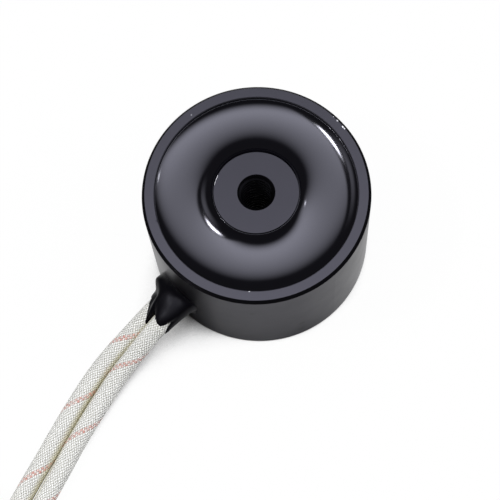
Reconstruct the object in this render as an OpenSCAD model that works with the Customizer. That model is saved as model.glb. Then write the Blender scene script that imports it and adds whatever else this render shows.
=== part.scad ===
// Round holding electromagnet: a turned steel pot with a tapped centre pole, a wound bobbin
// cast into it under black resin, and a pair of braided leads that leave through the side wall.
// The origin is the centre of the back face. +Z is the axis, towards the holding face.
// The leads leave along -Y.

/* [Steel pot] */
// Outside diameter of the pot
body_d = 38.1; // [36:0.1:44]
// Height of the pot, from its back face to its holding face
body_h = 25.4; // [24:0.1:32]
// Thickness of the back wall
base_t = 5; // [4:0.1:5.6]
// Thickness of the outer ring's wall
ring_w = 2.15; // [1.6:0.05:2.8]
// Diameter of the centre pole
pole_d = 14.4; // [12:0.1:16.5]
// Width of the chamfer round the holding face
rim_chamfer_w = 0.5; // [0.2:0.05:1]
// Depth of the chamfer round the holding face
rim_chamfer_h = 0.65; // [0.2:0.05:1.2]
// Width and height of the chamfer round the back face
back_chamfer = 0.5; // [0.2:0.05:1.2]
// Small break on the inner edges of the holding face
edge_break = 0.12; // [0.05:0.01:0.3]
// Major diameter of the mounting thread that runs through the pole
thread_d = 6.35; // [5:0.05:8]

/* [Coil] */
// Height of the bobbin
bobbin_h = 14.6; // [11:0.1:15.5]
// Thickness of the bobbin's tube
bobbin_wall = 0.8; // [0.5:0.05:1.2]
// Thickness of each bobbin flange
flange_t = 0.9; // [0.6:0.05:1.4]
// Height of the flange's lip above the taped winding
flange_lip = 0.3; // [0.2:0.05:0.6]
// Thickness of the tape round the winding
tape_t = 0.3; // [0.15:0.05:0.5]
// Radial clearance between the bobbin and the pole
bobbin_clear = 0.15; // [0.05:0.01:0.4]
// Radial room between the flanges and the ring for the lead joints
joint_room = 3.3; // [3.1:0.05:4]
// Diameter of the magnet wire
wire_d = 0.5; // [0.3:0.05:0.8]

/* [Lead joints] */
// Outside diameter of the insulating sleeve over each joint
sleeve_d = 2.6; // [2.3:0.05:2.8]
// Length of the insulating sleeve
sleeve_l = 6; // [4:0.1:6.5]
// Outside diameter of the crimp barrel in each sleeve
crimp_d = 1.9; // [1.5:0.05:2.1]
// Length of the crimp barrel
crimp_l = 4.6; // [3:0.1:5.5]
// Angle from the lead hole to the middle of each joint
joint_angle = 26; // [24:0.5:40]

/* [Resin] */
// How far the resin meets the ring below the holding face
resin_ring_drop = 0.8; // [0.4:0.05:1.5]
// How far the resin meets the pole below the holding face
resin_pole_drop = 0.3; // [0.2:0.05:1.5]
// How far the middle of the trough lies below the holding face
resin_floor_drop = 2.25; // [1.6:0.05:3.5]
// How fast the resin climbs to each wall
meniscus_l = 1.8; // [0.8:0.05:2.2]

/* [Leads] */
// Diameter of each braided lead
lead_d = 3.4; // [2.8:0.05:3.5]
// Diameter of the stranded conductor in each lead
strand_d = 1.2; // [0.8:0.05:1.5]
// Diameter of the hole in the ring that both leads share
lead_hole_d = 7.2; // [7.05:0.05:7.4]
// Height of the lead hole's centre above the back face
lead_exit_h = 8.6; // [8.6:0.05:11]
// How far the jackets reach in past the ring's inner wall
lead_inset = 0.85; // [0.6:0.05:0.95]
// Length of the bare end on each lead
strip_l = 8; // [4:0.5:12]

/* [Lead seal] */
// How far the mound of resin spreads on the wall, to each side of the hole
mound_r = 4.9; // [4.2:0.05:6]
// How far the mound stands out from the wall before it narrows to the leads
mound_l = 2; // [1.2:0.05:2.8]
// Thickness of the resin that has run along the leads
coat_t = 0.4; // [0.2:0.05:0.8]
// Length of the resin coat along the leads, between its runs
coat_l = 4.1; // [3.2:0.05:5]

/* [Coiled length] */
// Diameter of the lead coil at the middle of its turns
coil_d = 37; // [34:0.5:41]
// Rise of the lead coil in one turn
coil_pitch = 3.6; // [3.5:0.05:4]
// Space from lead to lead in the coil
coil_step = 3.5; // [3.45:0.05:4]
// Turns of the inner lead
turns_a = 2.15; // [2.1:0.01:2.4]
// Turns of the outer lead
turns_b = 1.78; // [1.7:0.01:2]
// Thickness of the tie's band
tie_t = 1.2; // [0.8:0.05:1.6]
// Width of the tie's band
tie_w = 2.5; // [2:0.1:4.5]

/* [Hidden] */
$fn = 96;

// Radii and heights that several pieces share
body_r = body_d / 2;
ring_in_r = body_r - ring_w;
pole_r = pole_d / 2;
thread_r = thread_d / 2;
bobbin_in_r = pole_r + bobbin_clear;
winding_in_r = bobbin_in_r + bobbin_wall;
flange_r = ring_in_r - joint_room;
tape_r = flange_r - flange_lip;
winding_r = tape_r - tape_t;
bobbin_top = base_t + bobbin_h;
winding_low = base_t + flange_t;
winding_high = bobbin_top - flange_t;
joint_r = (flange_r + ring_in_r) / 2;
joint_gap = 0.15;
root_r = ring_in_r - lead_inset;
over = 1;

// Each lead's route: sideways place, distance out from the wall, and the share of the exit
// height that is left, from the lead hole down to the surface and along it to the coil.
// The leads leave the hole side by side on a slant, lead_b the higher.
route_a = [
    [-1.45, 0, 1], [-1.45, 3, 0.96], [-1.45, 6, 0.82], [-1.45, 9, 0.61], [-1.45, 12, 0.4],
    [-1.4, 15, 0.21], [-1.1, 18, 0.08], [-0.5, 21, 0.02], [0.6, 25, 0], [2.2, 30, 0],
    [3.9, 35, 0], [5.9, 41, 0], [8.4, 48, 0]
];
route_b = [
    [1.45, 0, 1], [1.45, 3, 0.96], [1.5, 6, 0.84], [1.6, 9, 0.66], [1.75, 12, 0.45],
    [1.95, 15, 0.27], [2.4, 18, 0.13], [3.1, 21, 0.05], [4.2, 25, 0.01], [5.8, 30, 0],
    [7.6, 35, 0], [9.7, 41, 0], [13.2, 51, 0]
];
slant_h = 0.9;
exit_a = lead_exit_h - slant_h;
exit_b = lead_exit_h + slant_h;
tube_sides = 8;

// The lead coil lies in line with the pot; the leads run into it at this angle
coil_centre = [-2, -(body_r + 69)];
coil_entry = 19;
coil_r = coil_d / 2;
coil_in_r = coil_r - coil_step;
coil_out_r = coil_r + coil_step;
tie_angle = coil_entry - 180;
tie_head = 4.4;
tie_fit = 0.1;

// Points round the seal's skin, and where its runs of resin lie round the leads:
// the angle of each run, its half width and how far it reaches past the coat.
skin_sides = 40;
skin_square = 2.5;
coat_steps = 5;
coat_edge = 0.08;
resin_gap = 0.05;
runs = [[102, 13, 3.3], [29, 19, 2.4], [-21, 10, 2.7]];
resin_steps = 28;

// A point of a lead's route in the part's frame
function lead_point(p, exit_h) = [
    p[0], -(body_r + p[1]), lead_d / 2 + p[2] * (exit_h - lead_d / 2)
];
function lead_path(route, exit_h) = concat(
    [[route[0][0], -root_r, exit_h]],
    [for (p = route) lead_point(p, exit_h)]
);
path_a = lead_path(route_a, exit_a);
path_b = lead_path(route_b, exit_b);

// The place of a lead at a distance out from the wall
function lead_at(path, dist) = [
    for (axis = [0, 2]) lookup(dist, [for (p = path) [-p[1] - body_r, p[axis]]])
];

// The direction of a path at one of its points
function unit(v) = v / norm(v);
function heading(path, i) = unit(path[min(i + 1, len(path) - 1)] - path[max(i - 1, 0)]);
function across(path, i) = unit(cross(heading(path, i), [0, 0, 1]));

// Faces of a skin of closed rings, wound so that they look outwards
function skin_faces(rings, sides) = [
    for (i = [0 : rings - 2], k = [0 : sides - 1])
        let (a = i * sides + k, b = i * sides + (k + 1) % sides)
        each [[a, b, b + sides], [a, b + sides, a + sides]]
];

// Height of the resin's free surface at a radius
function resin_height(r) =
    body_h - resin_floor_drop
    + (resin_floor_drop - resin_pole_drop) * exp(-(r - pole_r) / meniscus_l)
    + (resin_floor_drop - resin_ring_drop) * exp(-(ring_in_r - r) / meniscus_l);

// How far the seal reaches out from the wall, at an angle round the leads
function turn_between(a, b) = let (d = (a - b) % 360) d > 180 ? d - 360 : d < -180 ? d + 360 : d;
function run_at(angle, run) = run[2] * exp(-pow(turn_between(angle, run[0]) / run[1], 2));
function seal_reach(angle) = coat_l + run_at(angle, runs[0]) + run_at(angle, runs[1]) + run_at(angle, runs[2]);

// A point of the seal's skin: an oval round both leads, turned with their slant
function blunt(v, square) = sign(v) * pow(abs(v), 2 / square);
function skin_point(dist, angle, wide, high, square) =
    let (
        a = lead_at(path_a, dist),
        b = lead_at(path_b, dist),
        middle = (a + b) / 2,
        along = unit(b - a),
        u = wide * blunt(cos(angle), square),
        v = high * blunt(sin(angle), square)
    )
    [
        middle[0] + u * along[0] - v * along[1],
        -(body_r + dist),
        middle[1] + u * along[1] + v * along[0]
    ];
pair_wide = norm([route_b[0][0], slant_h]) + lead_d / 2;
pair_high = lead_d / 2;

// The mound's rings: distance from the wall, and its size as a share of mound_r
mound_rings = [
    [resin_gap - ring_w, 1, 0.95], [0.1, 1, 0.95], [0.2 * mound_l, 0.97, 0.92],
    [0.5 * mound_l, 0.89, 0.78], [0.8 * mound_l, 0.8, 0.58]
];
mound_skin = [
    for (m = mound_rings, k = [0 : skin_sides - 1])
        skin_point(m[0], 360 * k / skin_sides, mound_r * m[1], mound_r * m[2], 2)
];
coat_skin = [
    for (i = [0 : coat_steps], k = [0 : skin_sides - 1])
        let (
            angle = 360 * k / skin_sides,
            share = i / coat_steps,
            thick = coat_edge + (coat_t - coat_edge) * pow(1 - share, 0.6),
            dist = mound_l + share * (seal_reach(angle) - mound_l)
        )
        skin_point(dist, angle, pair_wide + thick, pair_high + thick, skin_square)
];
seal_rings = len(mound_rings) + coat_steps + 1;

// Turned section of the pot: back wall, ring and pole with the thread's hole
module pot_section() {
    polygon([
        [thread_r, 0], [body_r - back_chamfer, 0], [body_r, back_chamfer],
        [body_r, body_h - rim_chamfer_h], [body_r - rim_chamfer_w, body_h],
        [ring_in_r + edge_break, body_h], [ring_in_r, body_h - edge_break], [ring_in_r, base_t],
        [pole_r, base_t], [pole_r, body_h - edge_break], [pole_r - edge_break, body_h],
        [thread_r, body_h]
    ]);
}

module lead_hole() {
    translate([0, 0, lead_exit_h])
        rotate([90, 0, 0])
            cylinder(d = lead_hole_d, h = body_d);
}

// A tube round a path, with flat ends
module lead_tube(path) {
    rings = len(path);
    last = (rings - 1) * tube_sides;
    points = [
        for (i = [0 : rings - 1], k = [0 : tube_sides - 1])
            let (side = across(path, i), up = cross(side, heading(path, i)), a = 360 * k / tube_sides)
            path[i] + lead_d / 2 * (cos(a) * side + sin(a) * up)
    ];
    faces = concat(
        skin_faces(rings, tube_sides),
        [[for (k = [tube_sides - 1 : -1 : 0]) k]],
        [[for (k = [0 : tube_sides - 1]) last + k]]
    );
    polyhedron(points, faces, convexity = 6);
}

// The seal's outer skin, closed by a fan at each end
module seal_skin() {
    start = [0, -ring_in_r - resin_gap, lead_exit_h];
    middle = (lead_at(path_a, mound_l) + lead_at(path_b, mound_l)) / 2;
    finish = [middle[0], -(body_r + mound_l), middle[1]];
    count = seal_rings * skin_sides;
    last = count - skin_sides;
    points = concat(mound_skin, coat_skin, [start, finish]);
    faces = concat(
        skin_faces(seal_rings, skin_sides),
        [for (k = [0 : skin_sides - 1]) [count, (k + 1) % skin_sides, k]],
        [for (k = [0 : skin_sides - 1]) [count + 1, last + k, last + (k + 1) % skin_sides]]
    );
    polyhedron(points, faces, convexity = 8);
}

// Lead_a is at side -1 and lead_b at side 1, each with its joint at its own height
function lead_x(side) = side * route_b[0][0];
function lead_h(side) = side < 0 ? exit_a : exit_b;

// What stands at a joint, along the joint's own axis: z runs away from the lead hole
module at_joint(side) {
    translate([0, 0, lead_h(side)])
        rotate([0, 0, side * joint_angle - 90])
            translate([joint_r, 0, 0])
                rotate([-side * 90, 0, 0])
                    children();
}

module sleeve(side) {
    color("ivory")
        at_joint(side)
            difference() {
                cylinder(d = sleeve_d, h = sleeve_l, center = true);
                cylinder(d = crimp_d, h = sleeve_l + over, center = true);
            }
}

module crimp(side) {
    color("silver")
        at_joint(side)
            cylinder(d = crimp_d, h = crimp_l, center = true);
}

// The bare conductor from a lead's jacket to its crimp: out of the jacket and round in the gap
module root(side) {
    start_angle = asin(abs(lead_x(side)) / joint_r);
    end_angle = joint_angle - atan((crimp_l / 2 + joint_gap) / joint_r);
    color("tan")
        translate([0, 0, lead_h(side)]) {
            translate([lead_x(side), -root_r, 0])
                rotate([-90, 0, 0])
                    cylinder(d = strand_d, h = root_r - joint_r * cos(start_angle) + strand_d / 2);
            rotate([0, 0, -90 + (side < 0 ? -end_angle : start_angle)])
                rotate_extrude(angle = end_angle - start_angle)
                    translate([joint_r, 0])
                        circle(d = strand_d);
        }
}

// A tail of magnet wire from the winding, round the end of a sleeve and into its crimp
module wire_tail(side) {
    past = sleeve_l / 2 + wire_d;
    at_joint(side) {
        translate([0, 0, crimp_l / 2])
            cylinder(d = wire_d, h = past - crimp_l / 2 + wire_d / 2);
        translate([0, 0, past])
            rotate([0, -90, 0])
                cylinder(d = wire_d, h = joint_r - winding_r + 2 * wire_d);
    }
}

// The room that a lead's jacket, joint and wire tail take in the resin
module joint_room_cut(side) {
    wire_tail(side);
    root(side);
    at_joint(side)
        cylinder(d = sleeve_d, h = sleeve_l, center = true);
    translate([lead_x(side), -root_r, lead_h(side)])
        rotate([90, 0, 0])
            cylinder(d = lead_d, h = body_r);
}

// One lead's place in the coil
function coil_place(radius, turns) =
    let (angle = coil_entry - 360 * turns)
    [
        coil_centre[0] + radius * cos(angle),
        coil_centre[1] + radius * sin(angle),
        lead_d / 2 + coil_pitch * turns
    ];
function coil_height(turns) = lead_d / 2 + coil_pitch * turns - strand_d / 2;

module at_tie() {
    translate([coil_centre[0], coil_centre[1], 0])
        rotate([0, 0, tie_angle])
            children();
}

// The ring that one lead's turns fill, with a notch underneath for the tie
module coil_ring(inner_r, outer_r, turns) {
    color("whitesmoke")
        difference() {
            translate([coil_centre[0], coil_centre[1], 0])
                rotate_extrude()
                    translate([inner_r, 0])
                        square([outer_r - inner_r, coil_height(turns)]);
            at_tie()
                translate([0, -tie_w / 2 - tie_fit, -over])
                    cube([coil_out_r + over, tie_w + 2 * tie_fit, tie_t + over]);
        }
}

// The bare, tinned end of a lead where it comes out of its last turn
module lead_end(radius, turns) {
    color("silver")
        translate(coil_place(radius, turns))
            rotate([0, 0, coil_entry - 360 * turns])
                rotate([90, 0, 0])
                    cylinder(d = strand_d, h = strip_l);
}

module pot_body() {
    color([0.13, 0.13, 0.15])
        difference() {
            rotate_extrude()
                pot_section();
            difference() {
                lead_hole();
                cylinder(r = pole_r, h = body_h);
            }
        }
}

module bobbin() {
    color("gainsboro")
        rotate_extrude() {
            translate([bobbin_in_r, base_t])
                square([bobbin_wall, bobbin_h]);
            for (low = [base_t, winding_high])
                translate([bobbin_in_r, low])
                    square([flange_r - bobbin_in_r, flange_t]);
        }
}

module winding() {
    color("peru") {
        rotate_extrude()
            translate([winding_in_r, winding_low])
                square([winding_r - winding_in_r, winding_high - winding_low]);
        for (side = [-1, 1])
            wire_tail(side);
    }
}

module winding_tape() {
    color("khaki")
        difference() {
            rotate_extrude()
                translate([winding_r, winding_low])
                    square([tape_t, winding_high - winding_low]);
            for (side = [-1, 1])
                wire_tail(side);
        }
}

// Cast resin: it fills the pot round the coil and the joints, up to its free surface
module resin_fill() {
    surface_points = [
        for (i = [0 : resin_steps])
            let (r = ring_in_r + (pole_r - ring_in_r) * i / resin_steps)
            [r, resin_height(r)]
    ];
    color([0.03, 0.03, 0.035])
        difference() {
            rotate_extrude()
                difference() {
                    polygon(concat([[pole_r, base_t], [ring_in_r, base_t]], surface_points));
                    translate([bobbin_in_r, base_t])
                        square([tape_r - bobbin_in_r, bobbin_h]);
                    for (low = [base_t, winding_high])
                        translate([bobbin_in_r, low])
                            square([flange_r - bobbin_in_r, flange_t]);
                }
            joint_room_cut(-1);
            joint_room_cut(1);
        }
}

// Resin that seals the lead hole: a mound on the wall that has run along both leads
module lead_seal() {
    color([0.02, 0.02, 0.02])
        difference() {
            seal_skin();
            difference() {
                cylinder(r = body_r, h = body_h);
                lead_hole();
            }
            lead_tube(path_a);
            lead_tube(path_b);
        }
}

module lead_a() { color("whitesmoke") lead_tube(path_a); }
module lead_b() { color("whitesmoke") lead_tube(path_b); }
module lead_a_coil() { coil_ring(coil_in_r, coil_r, turns_a); }
module lead_b_coil() { coil_ring(coil_r, coil_out_r, turns_b); }
module lead_a_end() { lead_end(coil_r - coil_step / 2, turns_a); }
module lead_b_end() { lead_end(coil_r + coil_step / 2, turns_b); }

// A plastic tie round the coil, with its head on the outside
module coil_tie() {
    inside_h = coil_height(turns_a) - tie_t + tie_fit;
    inside_l = coil_out_r - coil_in_r + 2 * tie_fit;
    color("dimgray")
        at_tie()
            translate([coil_in_r - tie_fit, -tie_w / 2, 0]) {
                difference() {
                    translate([-tie_t, 0, 0])
                        cube([inside_l + 2 * tie_t, tie_w, inside_h + 2 * tie_t]);
                    translate([0, -over, tie_t])
                        cube([inside_l, tie_w + 2 * over, inside_h]);
                }
                translate([inside_l + tie_t, (tie_w - tie_head) / 2, tie_t])
                    cube([tie_head / 2, tie_head, tie_head]);
            }
}

pot_body();
bobbin();
winding();
winding_tape();
resin_fill();
lead_seal();
root(-1);  // lead_a_root
root(1);  // lead_b_root
crimp(-1);  // crimp_a
crimp(1);  // crimp_b
sleeve(-1);  // sleeve_a
sleeve(1);  // sleeve_b
lead_a();
lead_b();
lead_a_coil();
lead_b_coil();
lead_a_end();
lead_b_end();
coil_tie();
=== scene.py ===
"""Looks of a round holding electromagnet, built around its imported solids, in metres."""

import bpy
import numpy as np
from mathutils import Matrix, Vector


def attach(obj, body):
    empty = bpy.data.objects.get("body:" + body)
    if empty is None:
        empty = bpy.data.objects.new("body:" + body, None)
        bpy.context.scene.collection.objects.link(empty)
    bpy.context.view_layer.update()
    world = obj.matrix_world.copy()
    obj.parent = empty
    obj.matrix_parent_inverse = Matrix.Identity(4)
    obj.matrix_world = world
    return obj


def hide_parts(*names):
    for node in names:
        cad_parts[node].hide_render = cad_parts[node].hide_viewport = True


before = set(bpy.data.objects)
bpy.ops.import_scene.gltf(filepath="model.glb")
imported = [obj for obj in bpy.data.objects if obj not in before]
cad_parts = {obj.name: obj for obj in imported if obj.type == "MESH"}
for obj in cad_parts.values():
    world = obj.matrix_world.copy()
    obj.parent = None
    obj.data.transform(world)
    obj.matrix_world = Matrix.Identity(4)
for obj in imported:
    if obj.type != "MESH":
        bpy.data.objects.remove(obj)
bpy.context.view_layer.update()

bl_info = {
    "name": "Holding Electromagnet",
    "version": (1, 0, 0),
    "blender": (4, 5, 0),
    "location": "3D View > Sidebar > Electromagnet",
    "description": "Resin, thread, braided leads, finishes and studio of a round holding electromagnet",
    "category": "Object",
}

# Each lead's route, as in the part's source: sideways place and distance out from the wall
# in metres, and the share of its exit height that is left.
ROUTE_A = np.array([
    [-0.00145, 0, 1], [-0.00145, 0.003, 0.96], [-0.00145, 0.006, 0.82], [-0.00145, 0.009, 0.61],
    [-0.00145, 0.012, 0.4], [-0.0014, 0.015, 0.21], [-0.0011, 0.018, 0.08], [-0.0005, 0.021, 0.02],
    [0.0006, 0.025, 0], [0.0022, 0.03, 0], [0.0039, 0.035, 0], [0.0059, 0.041, 0], [0.0084, 0.048, 0],
])
ROUTE_B = np.array([
    [0.00145, 0, 1], [0.00145, 0.003, 0.96], [0.0015, 0.006, 0.84], [0.0016, 0.009, 0.66],
    [0.00175, 0.012, 0.45], [0.00195, 0.015, 0.27], [0.0024, 0.018, 0.13], [0.0031, 0.021, 0.05],
    [0.0042, 0.025, 0.01], [0.0058, 0.03, 0], [0.0076, 0.035, 0], [0.0097, 0.041, 0], [0.0132, 0.051, 0],
])

# The ragged edge of the seal on the leads: angle round the pair in degrees, and distance from the wall
SEAL_EDGE = np.array([
    [-90, 0.0045], [-60, 0.0043], [-35, 0.005], [-20, 0.0062], [-13, 0.0061], [-3, 0.0053], [1, 0.00425],
    [5.5, 0.0041], [9, 0.00485], [14, 0.00555], [19.5, 0.0061], [32, 0.00615], [46, 0.0058], [60, 0.0053],
    [75, 0.005], [86, 0.0051], [91, 0.0062], [95, 0.0073], [104, 0.0067], [116.5, 0.0059], [129.5, 0.005],
    [136.5, 0.00465], [144.5, 0.0036], [170, 0.0035], [220, 0.0042],
])

# The seal's foot on the wall: angle round the pair in degrees, radius, and how fast it runs down to the leads
SEAL_FOOT = np.array([
    [-90, 0.0041, 0.0008], [-50, 0.0039, 0.0009], [-25, 0.0041, 0.0012], [-5, 0.0049, 0.0016],
    [10, 0.0052, 0.002], [40, 0.0053, 0.0024], [80, 0.0053, 0.0024], [105, 0.0051, 0.0018],
    [125, 0.0049, 0.0009], [150, 0.0046, 0.0009], [185, 0.0042, 0.0008], [230, 0.004, 0.0008],
])

# The seal's lobe: angle and width in degrees, where it has dropped to the leads and over what length
SEAL_LOBE = (124, 26, 0.0031, 0.0024)

# The seal's crest and hollow: size, angle and width in degrees, distance from the wall and length
SEAL_CREST = (0.0005, 98, 15, 0.003, 0.0016)
SEAL_HOLLOW = (0.0009, 40, 26, 0.0003, 0.0016)

# The tie: half sizes of its loop, the band's half thickness and half width, and its middle's height
TIE_LOOP = (0.0041, 0.0043)
TIE_BAND = (0.0005, 0.00125)
TIE_MIDDLE = 0.00507

# The tie's head: its place out from the coil's middle and up, and its half sizes
TIE_HEAD_PLACE = (0.0053, -0.0018)
TIE_HEAD = (0.0012, 0.0021, 0.0021)

# Where the black is chipped: a point on an edge and the size of the chip
CHIPS = [
    ((0.00152, 0.01848, 0.02538), 0.00024), ((0.0019, 0.01842, 0.02536), 0.0002),
    ((0.00006, 0.0186, 0.02538), 0.00024), ((-0.0009, 0.01857, 0.02538), 0.00012),
    ((0.01166, -0.0124, 0.02538), 0.0001), ((-0.01757, 0.00145, 0.0254), 0.00008),
]

# Dark smudges on the wall and a nick in the ring: a point and a size
SMUDGES = [
    ((0.01789, -0.00656, 0.00701), 0.0009), ((0.01785, -0.00664, 0.00368), 0.0011),
    ((0.01338, -0.01356, 0.01881), 0.0006), ((-0.0076, -0.0152, 0.02538), 0.0004),
]

# Middle of the bright line of bare-steel colour on the pole's edge
POLE_EDGE_LINE = (-0.0062, -0.00342, 0.02538)

# The picture's right and up, in the part's frame
CAMERA_RIGHT = Vector((0.6802578, 0.7323069, -0.0312402))
CAMERA_UP = Vector((-0.6941401, 0.6573213, 0.2934251))

# Angle from the part's X axis to the picture's right, in degrees
PICTURE_TURN = 52

# Where each lamp stands: angle from the picture's right, angle over the floor, distance from the part
LAMP_PLACES = {
    "ceiling_lamp": (3.1, 35.4, 1.38), "panel_lamp": (166, 37.0, 0.9),
    "key_lamp": (185, 55.8, 0.9), "side_lamp": (4.9, 29.6, 0.9),
}

# Share of white that the background gives to gloss, and to all else that isn't the camera
GLOSS_SHARE = 0.035
FILL_SHARE = 0.015

# Where the floor is white to gloss: angle from the picture's right, and the cosines where that starts
# and is full
FLOOR_GLEAMS = [(-5, 0.4, 0.95), (172, 0.7, 0.95)]

# Distances from the part's axis between which the floor turns white to the camera, and dark in gloss
FLOOR_WHITE = (0.03, 0.05)
FLOOR_DARK = (0.034, 0.06)

# Largest share of plain white in what the camera sees of the floor
WHITE_SHARE = 0.97

# Plain colours
BLACK = (0, 0, 0, 1)
WHITE = (1, 1, 1, 1)


# Properties

def length(name, description, default):
    """A length in metres."""
    return bpy.props.FloatProperty(
        name=name, description=description, default=default, unit="LENGTH", precision=5
    )


def share(name, description, default):
    """A plain number."""
    return bpy.props.FloatProperty(name=name, description=description, default=default, precision=4)


def angle(name, description, degrees):
    """An angle, given here in degrees and kept in radians."""
    return bpy.props.FloatProperty(
        name=name, description=description, default=float(np.radians(degrees)), subtype="ANGLE"
    )


def colour(name, description, default):
    """A linear colour."""
    return bpy.props.FloatVectorProperty(
        name=name, description=description, default=default, size=3, min=0, max=1, subtype="COLOR"
    )


def power(name, description, default):
    """A lamp's power in watts."""
    return bpy.props.FloatProperty(name=name, description=description, default=default, unit="POWER")


class PotSettings(bpy.types.PropertyGroup):
    """Sizes and finish of the steel pot."""
    body_r: length("Body radius", "Outside radius of the pot", 0.01905)
    body_h: length("Body height", "Height from the back face to the holding face", 0.0254)
    pole_r: length("Pole radius", "Radius of the centre pole", 0.0072)
    ring_in_r: length("Ring inner radius", "Inner radius of the outer ring", 0.0169)
    base_t: length("Back wall", "Thickness of the back wall", 0.005)
    thread_r: length("Thread radius", "Major radius of the mounting thread", 0.003175)
    thread_pitch: length("Thread pitch", "Rise of the thread in one turn", 0.00127)
    black: colour("Black", "Colour of the blackened steel", (0.054, 0.0534, 0.0645))
    bare_steel: colour("Bare steel", "Colour of the steel where it is chipped", (0.7, 0.7, 0.72))


class ResinSettings(bpy.types.PropertyGroup):
    """The cast resin's free surface and finish."""
    ring_drop: length("Drop at the ring", "How far the resin meets the ring below the face", 0.0008)
    pole_drop: length("Drop at the pole", "How far the resin meets the pole below the face", 0.0003)
    floor_drop: length("Drop of the trough", "How far the trough lies below the face", 0.00225)
    meniscus: length("Meniscus", "How fast the resin climbs to each wall", 0.0018)
    black: colour("Resin", "Colour of the casting resin", (0.002, 0.0018, 0.003))


class LeadSettings(bpy.types.PropertyGroup):
    """Sizes and finish of the braided leads and of their coil."""
    lead_d: length("Lead diameter", "Diameter over the braid", 0.0034)
    strand_d: length("Conductor diameter", "Diameter of the stranded conductor", 0.0012)
    exit_a: length("Exit of lead a", "Height at which lead a leaves the wall", 0.0077)
    exit_b: length("Exit of lead b", "Height at which lead b leaves the wall", 0.0095)
    root_r: length("Jacket start", "Radius at which the jackets begin in the pot", 0.01605)
    strip_l: length("Bare end", "Length of the bare end of each lead", 0.008)
    coil_x: length("Coil X", "Place of the coil's axis along X", -0.002)
    coil_y: length("Coil Y", "Place of the coil's axis along Y", -0.08805)
    coil_r: length("Coil radius", "Radius of the coil between the two leads", 0.0185)
    coil_step: length("Coil step", "Space from lead to lead in the coil", 0.0035)
    coil_pitch: length("Coil pitch", "Rise of the coil in one turn", 0.0036)
    coil_entry: angle("Coil entry", "Angle at which the leads run into the coil", 19)
    turns_a: share("Turns of lead a", "Turns of the inner lead", 2.15)
    turns_b: share("Turns of lead b", "Turns of the outer lead", 1.78)
    tracer_pitch: length("Tracer pitch", "Rise of the tracer yarn in one turn", 0.0145)
    yarns: bpy.props.IntProperty(name="Yarns", description="Yarns of the braid each way round", default=20)
    yarn: colour("Yarn", "Colour of the braid", (0.93, 0.93, 0.89))
    # Painted shade: the gap colour darkens the braid's low parts between the yarns.
    gap: colour("Gaps", "Colour in the gaps of the braid", (0.42, 0.42, 0.33))
    # Painted shade: a darker, yellow-olive colour on the side of each braid that faces the other lead.
    shade_between_leads: colour("Shade between leads", "Colour of the braid between the leads", (0.55, 0.5, 0.26))
    tracer: colour("Tracer", "Colour of the tracer yarn", (0.7, 0.15, 0.09))


class SealSettings(bpy.types.PropertyGroup):
    """The resin that seals the lead hole."""
    mound_l: length("Mound length", "How far the mound stands out", 0.002)
    coat_t: length("Coat", "Thickness of the resin on the leads", 0.0004)


class StudioSettings(bpy.types.PropertyGroup):
    """Camera, lamps and floor."""
    camera_place: bpy.props.FloatVectorProperty(
        name="Camera place", description="Where the camera stands",
        default=(0.072342, -0.057228, 0.292270), size=3, subtype="XYZ", unit="LENGTH", precision=5
    )
    lens: bpy.props.FloatProperty(
        name="Lens", description="Focal length in millimetres", default=122.87, unit="CAMERA"
    )
    ceiling_power: power("Ceiling lamp", "Power of the wide soft lamp above", 43.0)
    panel_power: power("Panel lamp", "Power of the soft panel on the left", 1.0)
    key_power: power("Key lamp", "Power of the small lamp on the left", 11.0)
    side_power: power("Side lamp", "Power of the small lamp on the right", 0.6)
    tint: colour("Lamp tint", "Colour of the soft lamps' light", (0.95, 0.95, 1.0))
    floor: colour("Floor", "Colour of the floor", (0.92, 0.92, 0.9))


# Shapes

def quads(rows, cols, ring_rows):
    """Corner numbers of the quads of a grid that is closed round its columns.

    Each corner's row and column come with them, as they are before they wrap round."""
    i, j = np.meshgrid(np.arange(rows if ring_rows else rows - 1), np.arange(cols), indexing="ij")
    row = np.stack([i, i, i + 1, i + 1], -1).reshape(-1, 4)
    col = np.stack([j, j + 1, j + 1, j], -1).reshape(-1, 4)
    return row % rows * cols + col % cols, row, col


def surface(name, grids, ring_rows=False, uv_rows=None):
    """A mesh object from one or more grids of points, each closed round its columns.

    A grid is closed along its rows too where ring_rows is set; otherwise one face closes each end.
    The faces are turned so that the volume they hold is positive. uv_rows gives the second
    coordinate of each row, and the first runs from 0 to 1 round the columns."""
    points, faces, coords = [], [], []
    count = 0
    for grid in grids:
        rows, cols = grid.shape[:2]
        corners, row, col = quads(rows, cols, ring_rows)
        flat = grid.reshape(-1, 3)
        a, b, c, d = (flat[corners[:, k]] for k in range(4))
        volume = np.einsum("ij,ij->", a, np.cross(b, c)) + np.einsum("ij,ij->", a, np.cross(c, d))
        order = slice(None) if volume > 0 else slice(None, None, -1)
        faces += (corners[:, order] + count).tolist()
        if uv_rows is not None:
            coords.append(np.stack([col / cols, uv_rows[row]], -1)[:, order].reshape(-1, 2))
        if not ring_rows:
            ends = np.stack([np.arange(cols)[::-1], np.arange(cols) + (rows - 1) * cols])
            faces += (ends[:, order] + count).tolist()
            if uv_rows is not None:
                coords.append(np.repeat([[0.0, uv_rows[0]], [0.0, uv_rows[-1]]], cols, axis=0))
        points.append(flat)
        count += len(flat)
    mesh = bpy.data.meshes.new(name)
    mesh.from_pydata(np.concatenate(points).tolist(), [], faces)
    mesh.polygons.foreach_set("use_smooth", np.ones(len(faces), dtype=bool))
    if uv_rows is not None:
        layer = mesh.uv_layers.new(name="along")
        layer.data.foreach_set("uv", np.concatenate(coords).astype(np.float32).ravel())
    mesh.update()
    made = bpy.data.objects.new(name, mesh)
    bpy.context.scene.collection.objects.link(made)
    return made


def finish_piece(piece, material, slot, *nodes):
    """Gives a piece its material, hangs it on the root body and hides the solids it stands for."""
    piece.data.materials.append(material)
    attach(piece, "root")
    if nodes:
        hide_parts(*nodes)


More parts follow.
